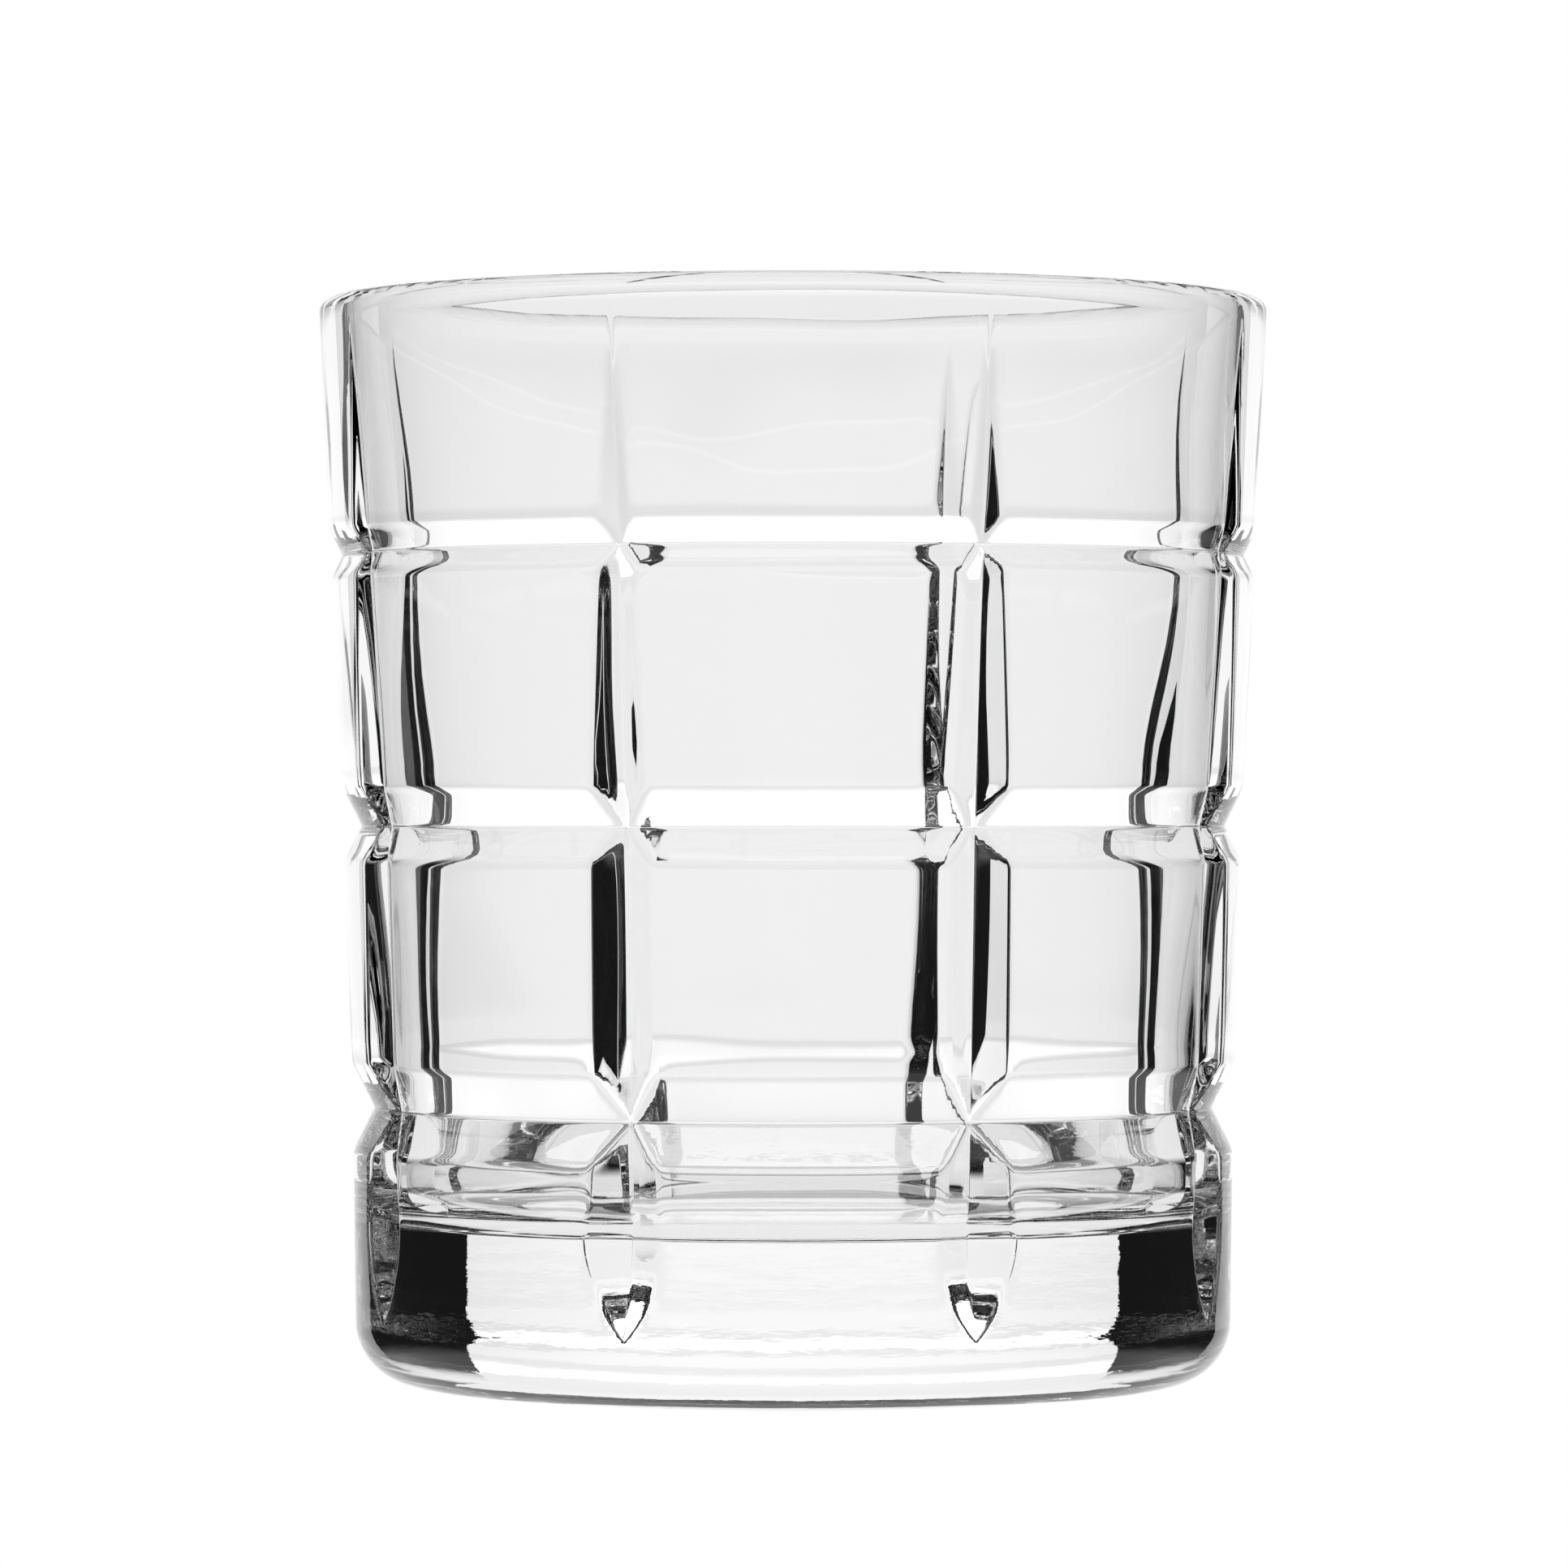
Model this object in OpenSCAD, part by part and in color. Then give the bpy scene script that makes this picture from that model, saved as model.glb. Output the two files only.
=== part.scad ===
// Double old-fashioned whiskey tumbler in clear cut glass. It is one piece of
// glass: a tapered body on a thick solid base, with upright V cuts crossed by
// V rings, which leaves rows of upright panels.

/* [Body] */
// Height from the base to the top of the rim
height = 96; // [92:0.5:104]
// Outside diameter of the glass at the rim
rim_od = 84; // [83:0.5:88]
// Outside diameter just above the rounded bottom edge
foot_od = 77.6; // [76:0.2:78]
// Radius of the rounded bottom edge
foot_round = 5.6; // [3:0.1:6]
// Diameter of the shallow hollow under the base
punt_d = 52; // [30:1:60]
// Depth of the hollow under the base
punt_deep = 0.6; // [0.2:0.1:1.5]

/* [Bowl] */
// Thickness of the solid base, from the table to the floor of the bowl
base_thick = 14.2; // [10:0.2:18]
// Thickness of the wall at the rim
rim_wall = 2.4; // [2.2:0.1:3]
// Diameter of the bowl just above its rounded bottom corner
bowl_od = 69.6; // [66:0.2:71]
// Radius of the corner between the floor and the wall of the bowl
bowl_round = 4; // [2:0.5:8]

/* [V rings] */
// Heights of the rings above the base, lowest first
ring_z = [24.4, 49.3, 73.2]; // [20:0.1:80]
// Outside diameters of the wall where the rings run, lowest first
ring_od = [78.1, 79.7, 81.9]; // [77:0.1:84]
// Half of the height of each ring at the surface, lowest first
ring_half = [3.8, 3.1, 1.9]; // [1:0.1:4]
// Angle between the two faces of a ring
ring_angle = 127; // [120:1:150]

/* [Upright cuts] */
// Number of upright cuts round the glass
cut_count = 8; // [6:1:12]
// Angle between the two faces of a cut
cut_angle = 117; // [110:1:140]
// Heights of the corners along the bottom of a cut, lowest first
cut_z = [14.5, 49, 74, 92]; // [12:0.5:93]
// Depths of the cut at those heights; it fades out at the last one
cut_deep = [2.05, 1.8, 1.08, 0]; // [0:0.01:2.2]
// Radius of the wheel that cuts the leaf-shaped lower end
wheel_r = 18; // [16:1:24]
// Height at which the wheel cuts deepest
wheel_z = 14.5; // [14:0.5:18]
// Depth of the cuts at the deepest point
wheel_deep = 2.2; // [1.8:0.05:2.4]

/* [Hidden] */
$fn = 128;
glass = [0.84, 0.88, 0.9, 0.5];
// How far a cutting tool reaches past the surface
reach = 5;
// The rim is a full round of this radius
lip_r = rim_wall / 2;
// Steps in which a rounded corner of an outline is drawn
corner_steps = 12;

// Points on an arc in the r-z plane, from angle a to angle b
function arc(centre, r, a, b) = [
    for (i = [0:corner_steps])
        let (t = a + (b - a) * i / corner_steps)
            centre + r * [cos(t), sin(t)]
];

// Corners of the wall's outer side, from the foot to the rim
wall = [
    [foot_od / 2, foot_round],
    [ring_od[0] / 2, ring_z[0]],
    [ring_od[1] / 2, ring_z[1]],
    [ring_od[2] / 2, ring_z[2]],
    [rim_od / 2, height - lip_r]
];

// Outer radius of the wall at height z, before any cut
function wall_r(z) = lookup(z, [for (p = wall) [p[1], p[0]]]);

// The part of the outline that dips into ring i
function ring_dip(i) =
    let (z = ring_z[i], h = ring_half[i], deep = h / tan(ring_angle / 2))
        [[wall_r(z - h), z - h], [wall_r(z) - deep, z], [wall_r(z + h), z + h]];

// Half section of the solid body: base, rounded edge, ringed wall and rim
module body_section() {
    foot_arc = arc([foot_od / 2 - foot_round, foot_round], foot_round, -90, 0);
    punt_lip = [punt_d / 2, 0];
    lip_arc = arc([rim_od / 2 - lip_r, height - lip_r], lip_r, 0, 90);
    polygon(concat(
        [[0, punt_deep], [punt_d / 2 - 2 * punt_deep, punt_deep], punt_lip],
        foot_arc, ring_dip(0), ring_dip(1), ring_dip(2), lip_arc,
        [[0, height]]
    ));
}

// Half section of the bowl, with the inner half of the rounded rim
module bowl_section() {
    floor_arc = arc([bowl_od / 2 - bowl_round, base_thick + bowl_round], bowl_round, -90, 0);
    lip_arc = arc([rim_od / 2 - lip_r, height - lip_r], lip_r, 180, 90);
    polygon(concat([[0, base_thick]], floor_arc, lip_arc, [[0, height]]));
}

// V of an upright cut seen along its length, with its point at the origin
module v_section() {
    half = reach * tan(cut_angle / 2);
    polygon([[0, 0], [reach, -half], [reach, half]]);
}

// Straight stretch of a cut whose point runs from a to b, each [radius, height]
module v_run(a, b) {
    lean = atan2(b[0] - a[0], b[1] - a[1]);
    translate([a[0], 0, a[1]]) rotate([0, lean, 0]) linear_extrude(norm(b - a)) v_section();
}

// Wheel with a V edge, whose axis lies level and across the cut
module v_wheel() {
    half = reach * tan(cut_angle / 2);
    rotate([90, 0, 0]) rotate_extrude()
        polygon([[0, -half], [wheel_r - reach, -half], [wheel_r, 0], [wheel_r - reach, half], [0, half]]);
}

// Corner i along the bottom of a cut, as [radius, height]
function cut_corner(i) = [wall_r(cut_z[i]) - cut_deep[i], cut_z[i]];

// One upright cut on the +X side: leaf-shaped lower end, two long runs, fading end
module upright_cut() {
    last = len(cut_z) - 1;
    // The fading end goes on past the surface by this share of its length
    past = 1.25;
    translate([wall_r(wheel_z) - wheel_deep + wheel_r, 0, wheel_z]) v_wheel();
    for (i = [0:last - 2]) v_run(cut_corner(i), cut_corner(i + 1));
    v_run(cut_corner(last - 1), cut_corner(last - 1) + past * (cut_corner(last) - cut_corner(last - 1)));
}

// The whole glass, turned so that a panel faces forward
module tumbler() {
    color(glass)
        difference() {
            rotate_extrude() body_section();
            rotate_extrude() bowl_section();
            for (i = [0:cut_count - 1])
                rotate((i + 0.5) * 360 / cut_count) upright_cut();
        }
}

tumbler();
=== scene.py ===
import functools
import math

import bmesh
import bpy
from mathutils import Matrix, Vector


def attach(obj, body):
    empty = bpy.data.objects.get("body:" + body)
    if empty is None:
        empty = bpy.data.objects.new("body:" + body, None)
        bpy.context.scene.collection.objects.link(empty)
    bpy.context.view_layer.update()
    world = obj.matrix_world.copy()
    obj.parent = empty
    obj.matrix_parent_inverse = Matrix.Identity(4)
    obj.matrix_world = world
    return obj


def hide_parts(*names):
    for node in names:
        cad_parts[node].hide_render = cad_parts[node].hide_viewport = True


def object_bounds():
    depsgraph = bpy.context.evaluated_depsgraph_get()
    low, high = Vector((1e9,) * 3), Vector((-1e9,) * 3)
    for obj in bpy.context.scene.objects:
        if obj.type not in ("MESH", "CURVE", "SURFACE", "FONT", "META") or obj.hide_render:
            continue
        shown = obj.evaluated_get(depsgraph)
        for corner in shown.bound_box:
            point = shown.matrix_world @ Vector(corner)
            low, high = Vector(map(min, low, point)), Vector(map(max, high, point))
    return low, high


mm = 0.001
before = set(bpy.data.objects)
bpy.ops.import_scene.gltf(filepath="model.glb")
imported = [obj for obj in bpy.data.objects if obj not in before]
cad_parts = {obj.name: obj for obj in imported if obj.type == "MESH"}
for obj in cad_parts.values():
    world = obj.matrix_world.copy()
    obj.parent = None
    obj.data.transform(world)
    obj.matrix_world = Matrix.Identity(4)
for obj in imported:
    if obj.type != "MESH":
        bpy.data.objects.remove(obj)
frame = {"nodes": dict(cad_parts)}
cadLow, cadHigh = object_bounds()
scene = bpy.context.scene
print("frame:", ", ".join(frame["nodes"]))


# ---- shape helpers

def span(a, b, count):
    # evenly spaced values after a, up to and including b
    return [a + (b - a) * i / count for i in range(1, count + 1)]


def arcPoints(centreR, centreZ, radius, start, end, count):
    points = []
    for i in range(count + 1):
        t = math.radians(start + (end - start) * i / count)
        points.append((centreR + radius * math.cos(t), centreZ + radius * math.sin(t)))
    return points


def between(x, xs, ys):
    # straight-line lookup, flat past both ends
    if x <= xs[0]:
        return ys[0]
    for x0, x1, y0, y1 in zip(xs, xs[1:], ys, ys[1:]):
        if x <= x1:
            return y0 + (y1 - y0) * (x - x0) / (x1 - x0)
    return ys[-1]


def softMin(a, b, soft):
    # the lower of two surfaces, with the edge between them worn back by soft
    reach = 4 * soft
    h = max(reach - abs(a - b), 0) / reach
    return min(a, b) - h * h * soft


def vRise(away, angle, soft):
    # height of the side of a V above its bottom, with the bottom slightly rounded
    return (math.hypot(away, soft) - soft) / math.tan(math.radians(angle / 2))


# ---- the glass: a turned blank, then upright V cuts crossed by V rings
# lengths in millimetres, angles in degrees

tumbler = {
    "height": (cadHigh.z - cadLow.z) / mm,
    "wallHeights": (5.6, 24.4, 49.3, 73.2, 94.8),    # corners of the wall's outer side
    "wallRadii": (38.8, 39.05, 39.85, 40.95, 42.0),
    "footRound": 5.6,
    "puntRadius": 26.0,      # the shallow hollow under the base
    "puntDepth": 0.6,
    "rimRound": 1.2,         # the rim is a full round, so the wall there is twice this
    "bowlFloor": 14.2,
    "bowlRadius": 34.8,      # at the top of the rounded corner of the bowl
    "bowlRound": 4.0,
    "ringHeights": (24.4, 49.3, 73.2),
    "ringHalves": (3.8, 3.1, 1.9),    # half of each ring's height at the surface
    "ringAngle": 127,
    "cutCount": 8,
    "cutAngle": 117,
    "cutHeights": (14.5, 49.0, 74.0, 92.0),    # corners of the bottom of an upright cut
    "cutDepths": (2.05, 1.8, 1.08, 0),
    "wheelRadius": 18.0,     # the wheel that cuts the leaf-shaped lower end
    "wheelHeight": 14.5,
    "wheelDepth": 2.2,
    "edgeSoft": 0.08,        # how far a polished edge is worn back
    "edgeFades": (3, 6),     # lengths over which the wear fades out at a cut's lower and upper end
    "valleySoft": 0.08,      # rounding at the bottom of a V
    "waveHeight": 0.03,      # unevenness of the inner wall, left by the mould
    "waveFades": (6, 12),    # lengths over which the waves fade in at the floor and out under the rim
}

# columns in half a pitch, and how close together they lie at the bottom and the edge of a cut
columns = {"valley": 3, "slope": 4, "edge": 4, "panel": 15, "valleyWidth": 0.3, "edgeWidth": 0.35}


@functools.cache
def wallRadius(z):
    return between(z, tumbler["wallHeights"], tumbler["wallRadii"])


@functools.cache
def valleyRadius(z):
    # radius at the bottom of an upright cut, with its leaf-shaped lower end
    t = tumbler
    away = min(abs(z - t["wheelHeight"]), 0.9 * t["wheelRadius"])
    leaf = wallRadius(t["wheelHeight"]) - t["wheelDepth"]
    leaf += t["wheelRadius"] - math.sqrt(t["wheelRadius"] ** 2 - away ** 2)
    if z < t["wheelHeight"]:
        return leaf
    heights = t["cutHeights"]
    corners = [wallRadius(height) - depth for height, depth in zip(heights, t["cutDepths"])]
    # the fading end goes on past the surface
    past = (corners[-1] - corners[-2]) / (heights[-1] - heights[-2]) * max(z - heights[-1], 0)
    return min(between(z, heights, corners) + past, leaf)


@functools.cache
def ringedRadius(z):
    # radius of the wall with its rings, away from the upright cuts
    t = tumbler
    r = wallRadius(z)
    for height, half in zip(t["ringHeights"], t["ringHalves"]):
        if abs(z - height) < 2 * half:
            bottom = wallRadius(height) - vRise(half, t["ringAngle"], 0)
            r = softMin(r, bottom + vRise(z - height, t["ringAngle"], t["valleySoft"]), t["edgeSoft"])
    return r


@functools.cache
def cutHalfWidth(z):
    depth = max(wallRadius(z) - valleyRadius(z), 0)
    return depth * math.tan(math.radians(tumbler["cutAngle"] / 2))


def carvedRadius(across, z):
    # radius of the finished surface at this distance from the middle of an upright cut
    t = tumbler
    side = valleyRadius(z) + vRise(across, t["cutAngle"], t["valleySoft"])
    # the worn edge fades out at both ends of the cut
    fadeLow, fadeHigh = t["edgeFades"]
    ends = min(1, (z - t["footRound"]) / fadeLow, (t["cutHeights"][-1] + 1 - z) / fadeHigh)
    return softMin(ringedRadius(z), side, t["edgeSoft"] * max(ends, 0.01))


@functools.cache
def columnAngles(z):
    # columns follow the bottom and the edges of the cut up and down the wall
    c = columns
    halfPitch = math.pi / tumbler["cutCount"]
    r = wallRadius(z)
    width = max(cutHalfWidth(z), 0.6)
    inner, outer = max(width - c["edgeWidth"], 0.6 * width), width + c["edgeWidth"]
    angles = [0, min(c["valleyWidth"], 0.25 * width) / r, inner / r, outer / r, halfPitch]
    steps = [0, c["valley"], c["valley"] + c["slope"], c["valley"] + c["slope"] + c["edge"]]
    return steps + [steps[-1] + c["panel"]], angles


def outline():
    # half section of the uncut blank, from the middle of the underside to the middle of the bowl's floor
    t = tumbler
    footR = t["wallRadii"][0] - t["footRound"]
    points = [(0, t["puntDepth"])]
    points += [(r, t["puntDepth"]) for r in span(0, t["puntRadius"] - 2 * t["puntDepth"], 6)]
    points += [(t["puntRadius"] - t["puntDepth"], 0.6 * t["puntDepth"]), (t["puntRadius"], 0)]
    points += arcPoints(footR, t["footRound"], t["footRound"], -90, 0, 12)
    # rows crowd together at the lower ends of the cuts, and at the bottom and the edges of each ring
    rows = [t["footRound"]]
    rows += span(t["footRound"], 9, 15)
    rows += span(9, t["wheelHeight"], 7)
    for height, half in zip(t["ringHeights"], t["ringHalves"]):
        rows += span(rows[-1], height - half - 0.5, 10)
        rows += span(height - half - 0.5, height - half + 0.4, 5)
        rows += span(height - half + 0.4, height - 0.3, round(2 * half))
        rows += span(height - 0.3, height + 0.3, 4)
        rows += span(height + 0.3, height + half - 0.4, round(2 * half))
        rows += span(height + half - 0.4, height + half + 0.5, 5)
    rows += span(rows[-1], t["height"] - t["rimRound"], 16)
    points += [(wallRadius(z), z) for z in rows[1:]]
    lipR, lipZ = t["wallRadii"][-1] - t["rimRound"], t["height"] - t["rimRound"]
    points += arcPoints(lipR, lipZ, t["rimRound"], 0, 180, 14)[1:]
    cornerR, cornerZ = t["bowlRadius"] - t["bowlRound"], t["bowlFloor"] + t["bowlRound"]
    corner = arcPoints(cornerR, cornerZ, t["bowlRound"], 0, -90, 12)
    inside = list(zip(span(points[-1][0], corner[0][0], 26), span(points[-1][1], corner[0][1], 26)))
    points += inside[:-1] + corner
    points += [(r, t["bowlFloor"]) for r in span(corner[-1][0], 0, 5)]
    return points


def carve(bm, halfColumns, pitch):
    # one eighth of the glass, with its cut in the middle at angle 0
    t = tumbler
    foot, top = t["footRound"], t["height"] - t["rimRound"]
    for v in bm.verts:
        r = math.hypot(v.co.x, v.co.y)
        z = round(v.co.z, 4)
        onWall = foot < z < top and abs(r - wallRadius(z)) < 0.01
        underneath = z <= foot and r < t["wallRadii"][0] + 0.01
        level = z if onWall else foot if underneath else top
        step = math.atan2(v.co.y, v.co.x) / pitch * 2 * halfColumns
        angle = math.copysign(between(abs(step), *columnAngles(level)), step)
        if onWall:
            r = carvedRadius(wallRadius(z) * math.sin(abs(angle)), z)
        v.co.x, v.co.y = r * math.cos(angle), r * math.sin(angle)


def unevenInside(bm):
    # long low waves on the inner wall, fading out at the rim and at the floor
    t = tumbler
    low, high = t["bowlFloor"], t["height"] - 3
    fadeLow, fadeHigh = t["waveFades"]
    # all of the inner wall lies inside these radii, and all of the outer wall outside them
    limits = (t["bowlRadius"] + 0.4, t["wallRadii"][-1] - 2)
    for v in bm.verts:
        r, z = math.hypot(v.co.x, v.co.y), v.co.z
        if not low < z < high or r > between(z, (low, high), limits):
            continue
        turn = math.atan2(v.co.y, v.co.x)
        wave = math.sin(5 * turn + z / 7) + math.sin(9 * turn - z / 5 + 1)
        wave += 0.7 * math.sin(16 * turn + z / 9 + 2) + 0.6 * math.sin(z / 4 + 2 * math.sin(3 * turn))
        fade = min(1, (z - low) / fadeLow, (high - z) / fadeHigh)
        scale = 1 + t["waveHeight"] * wave * fade / r
        v.co.x, v.co.y = v.co.x * scale, v.co.y * scale


def makeTumbler():
    points = outline()
    halfColumns = columns["valley"] + columns["slope"] + columns["edge"] + columns["panel"]
    pitch = 2 * math.pi / tumbler["cutCount"]
    bm = bmesh.new()
    line = [bm.verts.new((r * math.cos(-pitch / 2), r * math.sin(-pitch / 2), z)) for r, z in points]
    edges = [bm.edges.new(pair) for pair in zip(line, line[1:])]
    bmesh.ops.spin(bm, geom=line + edges, cent=(0, 0, 0), axis=(0, 0, 1), angle=pitch,
                   steps=2 * halfColumns)
    carve(bm, halfColumns, pitch)
    # a panel faces forward, so the first cut is turned half a pitch away from it
    bmesh.ops.rotate(bm, verts=bm.verts[:], cent=(0, 0, 0), matrix=Matrix.Rotation(pitch / 2, 3, "Z"))
    eighth = bm.verts[:] + bm.edges[:] + bm.faces[:]
    bmesh.ops.spin(bm, geom=eighth, cent=(0, 0, 0), axis=(0, 0, 1), angle=2 * math.pi - pitch,
                   steps=tumbler["cutCount"] - 1, use_duplicate=True)
    bmesh.ops.remove_doubles(bm, verts=bm.verts[:], dist=0.0005)
    unevenInside(bm)
    bmesh.ops.scale(bm, vec=(mm, mm, mm), verts=bm.verts[:])
    bmesh.ops.recalc_face_normals(bm, faces=bm.faces[:])
    for face in bm.faces:
        face.smooth = True
    openEdges = sum(not edge.is_manifold for edge in bm.edges)
    data = bpy.data.meshes.new("cutGlass")
    bm.to_mesh(data)
    bm.free()
    piece = bpy.data.objects.new("cutGlass", data)
    scene.collection.objects.link(piece)
    print("glass:", len(points), "rows,", len(data.polygons), "faces,", openEdges, "open edges")
    return piece


clearGlass = {
    "colour": (1.0, 1.0, 1.0, 1.0),
    "ior": 1.52,
    "roughness": 0.0,
    "rippleHeight": 0.000025,     # fine level ripples in the thick base
    "rippleSpread": (250, 250, 1000),    # ripples per metre along X, Y and Z
    "rippleTop": (0.012, 0.015),         # heights in metres between which they fade out
}


def mapRange(nodes, low, high, atLow, atHigh, interpolation="LINEAR"):
    node = nodes.new("ShaderNodeMapRange")
    node.interpolation_type = interpolation
    for name, value in zip(("From Min", "From Max", "To Min", "To Max"), (low, high, atLow, atHigh)):
        node.inputs[name].default_value = value
    return node


def rippleGroup():
    # level streaks round the base, fading out at the floor of the bowl
    group = bpy.data.node_groups.new("baseRipples", "ShaderNodeTree")
    group.interface.new_socket("Normal", in_out="OUTPUT", socket_type="NodeSocketVector")
    nodes, links = group.nodes, group.links
    place = nodes.new("ShaderNodeTexCoord")
    stretch = nodes.new("ShaderNodeMapping")
    stretch.inputs["Scale"].default_value = clearGlass["rippleSpread"]
    links.new(place.outputs["Object"], stretch.inputs["Vector"])
    noise = nodes.new("ShaderNodeTexNoise")
    noise.inputs["Scale"].default_value = 1.0
    noise.inputs["Detail"].default_value = 3.0
    links.new(stretch.outputs["Vector"], noise.inputs["Vector"])
    split = nodes.new("ShaderNodeSeparateXYZ")
    links.new(place.outputs["Object"], split.inputs["Vector"])
    fade = mapRange(nodes, *clearGlass["rippleTop"], 1, 0)
    links.new(split.outputs["Z"], fade.inputs["Value"])
    bump = nodes.new("ShaderNodeBump")
    bump.inputs["Distance"].default_value = clearGlass["rippleHeight"]
    links.new(fade.outputs["Result"], bump.inputs["Strength"])
    links.new(noise.outputs["Fac"], bump.inputs["Height"])
    out = nodes.new("NodeGroupOutput")
    links.new(bump.outputs["Normal"], out.inputs["Normal"])
    return group


def glassMaterial():
    mat = bpy.data.materials.new("clearGlass")
    mat.use_nodes = True
    nodes, links = mat.node_tree.nodes, mat.node_tree.links
    shader = nodes["Principled BSDF"]
    shader.inputs["Base Color"].default_value = clearGlass["colour"]
    shader.inputs["IOR"].default_value = clearGlass["ior"]
    shader.inputs["Roughness"].default_value = clearGlass["roughness"]
    shader.inputs["Transmission Weight"].default_value = 1.0
    ripples = nodes.new("ShaderNodeGroup")
    ripples.node_tree = rippleGroup()
    links.new(ripples.outputs["Normal"], shader.inputs["Normal"])
    print("material:", mat.name)
    return mat


# ---- studio: a white backdrop panel behind the glass in an unlit room, on a white floor; the floor's reflection of the backdrop is a painted reflection, a second glowing panel below the floor

studio = {
    "backdropAway": 1.36,     # metres behind the glass
    "backdropHalf": 34.2,     # degrees of backdrop to each side, seen from the glass
    # how bright the backdrop is at each angle above the horizon, seen from the foot of the glass
    "backdropGlow": ((0, 1.03), (5, 1.02), (7, 0.9), (8.5, 0.9), (14, 1.25), (27, 1.25)),
    # the same for the painted reflection of the backdrop: a glowing panel below the floor, standing in
    # for its reflection in a polished floor
    "paintedReflectionGlow": ((-27, 0.96), (-3.2, 0.96), (-1.8, 1.03), (0, 1.03)),
    "sideStart": 0.15,        # share of the half width at which the glow begins to fall off
    "sideGlow": 0.92,         # how much of the glow is left at the sides of the backdrop
    "roomGlow": 0.008,        # the unlit room around the glass
    "floorRadius": 3.0,
    "floorDrop": 0.0002,      # the floor lies this far under the glass
    "floorGlow": 0.9,
    # values of Facing between which the floor turns clear, so that the painted reflection panel under it
    # shows
    "floorClears": (0.58, 0.79),
}


def emptyMaterial(name):
    mat = bpy.data.materials.new(name)
    mat.use_nodes = True
    mat.node_tree.nodes.clear()
    return mat, mat.node_tree.nodes, mat.node_tree.links


def makeRoom():
    world = bpy.data.worlds.new("room")
    scene.world = world
    world.use_nodes = True
    nodes, links = world.node_tree.nodes, world.node_tree.links
    # the room looks white to the camera and stays dark around the glass
    path = nodes.new("ShaderNodeLightPath")
    glow = mapRange(nodes, 0, 1, studio["roomGlow"], 1)
    nodes["Background"].inputs["Color"].default_value = (1, 1, 1, 1)
    links.new(path.outputs["Is Camera Ray"], glow.inputs["Value"])
    links.new(glow.outputs["Result"], nodes["Background"].inputs["Strength"])


def makeFloor():
    # white when it is looked at steeply; at a low angle it turns clear and the painted reflection, a
    # glowing panel under the floor, shows through it instead
    mat, nodes, links = emptyMaterial("whiteFloorOverPaintedReflection")
    out = nodes.new("ShaderNodeOutputMaterial")
    glow = nodes.new("ShaderNodeEmission")
    glow.inputs["Strength"].default_value = studio["floorGlow"]
    clear = nodes.new("ShaderNodeBsdfTransparent")
    facing = nodes.new("ShaderNodeLayerWeight")
    grazing = mapRange(nodes, *studio["floorClears"], 0, 1, "SMOOTHSTEP")
    links.new(facing.outputs["Facing"], grazing.inputs["Value"])
    seen = nodes.new("ShaderNodeMixShader")
    links.new(grazing.outputs["Result"], seen.inputs[0])
    links.new(glow.outputs[0], seen.inputs[1])
    links.new(clear.outputs[0], seen.inputs[2])
    # the camera sees it plain white
    path = nodes.new("ShaderNodeLightPath")
    white = nodes.new("ShaderNodeEmission")
    mix = nodes.new("ShaderNodeMixShader")
    links.new(path.outputs["Is Camera Ray"], mix.inputs[0])
    links.new(seen.outputs[0], mix.inputs[1])
    links.new(white.outputs[0], mix.inputs[2])
    links.new(mix.outputs[0], out.inputs[0])
    bpy.ops.mesh.primitive_circle_add(vertices=96, radius=studio["floorRadius"], fill_type="NGON",
                                      location=(0, 0, -studio["floorDrop"]))
    floor = bpy.context.object
    floor.name = "floor"
    floor.data.materials.append(mat)


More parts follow.
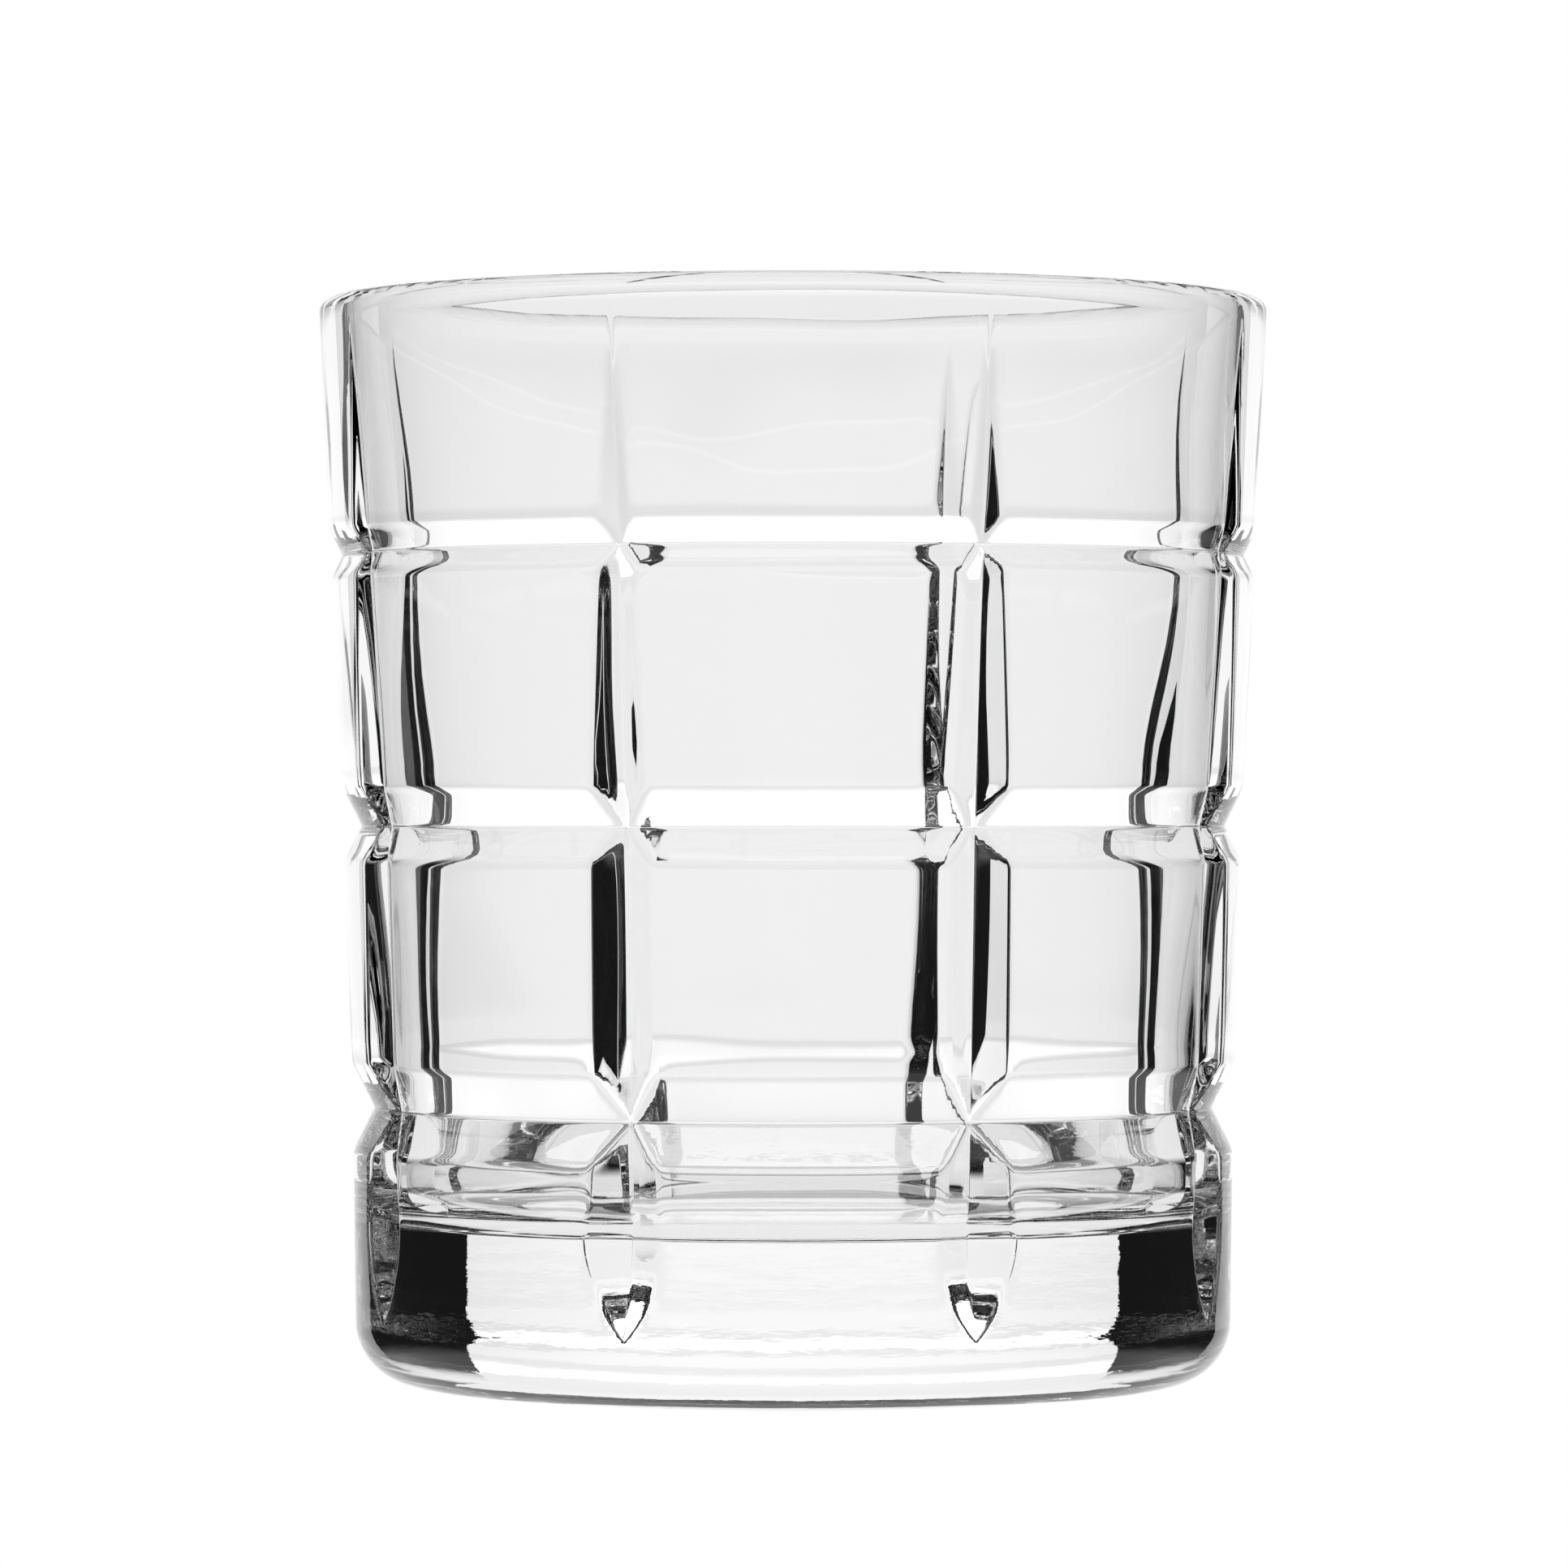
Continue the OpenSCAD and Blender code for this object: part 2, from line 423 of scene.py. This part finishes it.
def makePanel(name, stand, stops):
    # upright panel behind the glass; each stop is an angle above the horizon and the glow there
    away = studio["backdropAway"]
    half = away * math.tan(math.radians(studio["backdropHalf"]))
    heights = [away * math.tan(math.radians(angle)) for angle, glow in stops]
    bottom, top = heights[0], heights[-1]
    mat, nodes, links = emptyMaterial(name)
    out = nodes.new("ShaderNodeOutputMaterial")
    light = nodes.new("ShaderNodeEmission")
    place = nodes.new("ShaderNodeTexCoord")
    split = nodes.new("ShaderNodeSeparateXYZ")
    level = mapRange(nodes, bottom, top, 0, 1)
    glows = nodes.new("ShaderNodeValToRGB")
    glows.color_ramp.interpolation = "EASE"
    elements = glows.color_ramp.elements
    while len(elements) < len(stops):
        elements.new(0.5)
    for element, height, (angle, glow) in zip(elements, heights, stops):
        element.position = (height - bottom) / (top - bottom)
        element.color = (glow, glow, glow, 1)
    links.new(place.outputs["Object"], split.inputs["Vector"])
    links.new(split.outputs["Z"], level.inputs["Value"])
    links.new(level.outputs["Result"], glows.inputs["Fac"])
    # the glow falls off towards both sides
    aside = nodes.new("ShaderNodeMath")
    aside.operation = "ABSOLUTE"
    sides = mapRange(nodes, studio["sideStart"] * half, half, 1, studio["sideGlow"], "SMOOTHSTEP")
    strength = nodes.new("ShaderNodeMath")
    strength.operation = "MULTIPLY"
    links.new(split.outputs["X"], aside.inputs[0])
    links.new(aside.outputs[0], sides.inputs["Value"])
    links.new(glows.outputs["Color"], strength.inputs[0])
    links.new(sides.outputs["Result"], strength.inputs[1])
    links.new(strength.outputs[0], light.inputs["Strength"])
    links.new(light.outputs[0], out.inputs[0])
    bm = bmesh.new()
    corners = [(-half, away, bottom), (half, away, bottom), (half, away, top), (-half, away, top)]
    bm.faces.new([bm.verts.new(corner) for corner in corners])
    data = bpy.data.meshes.new(name)
    bm.to_mesh(data)
    bm.free()
    data.materials.append(mat)
    panel = bpy.data.objects.new(name, data)
    scene.collection.objects.link(panel)
    panel.visible_camera = False
    panel.parent = stand


def makeBackdrop(camera):
    # the stand turns the backdrop so that it stays behind the glass
    stand = bpy.data.objects.new("backdropStand", None)
    scene.collection.objects.link(stand)
    follow = stand.constraints.new("LOCKED_TRACK")
    follow.target = camera
    follow.track_axis = "TRACK_NEGATIVE_Y"
    follow.lock_axis = "LOCK_Z"
    makePanel("backdrop", stand, studio["backdropGlow"])
    # this second panel is a painted reflection: a glowing panel under the floor that stands in for the
    # backdrop mirrored in a polished floor
    makePanel("paintedFloorReflection", stand, studio["paintedReflectionGlow"])


# lens in millimetres, lengths in metres, turn in degrees round the glass
view = {"lens": 180.9, "distance": 0.70, "height": 0.053, "aside": -0.0008, "turn": -0.9}


def makeCamera():
    data = bpy.data.cameras.new("camera")
    camera = bpy.data.objects.new("camera", data)
    scene.collection.objects.link(camera)
    data.sensor_width = 36
    data.lens = view["lens"]
    data.clip_start, data.clip_end = 0.01, 20
    turn = math.radians(view["turn"])
    camera.location = (view["aside"] + view["distance"] * math.sin(turn),
                       -view["distance"] * math.cos(turn), view["height"])
    camera.rotation_euler = (math.radians(90), 0, turn)
    scene.camera = camera
    return camera


glassPiece = makeTumbler()
glassPiece.data.materials.append(glassMaterial())
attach(glassPiece, "root")
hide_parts("tumbler")

makeRoom()
makeFloor()
makeBackdrop(makeCamera())
print("studio: done")

scene.view_settings.view_transform = "Standard"
scene.cycles.max_bounces = 32
scene.cycles.transmission_bounces = 32
scene.cycles.glossy_bounces = 16
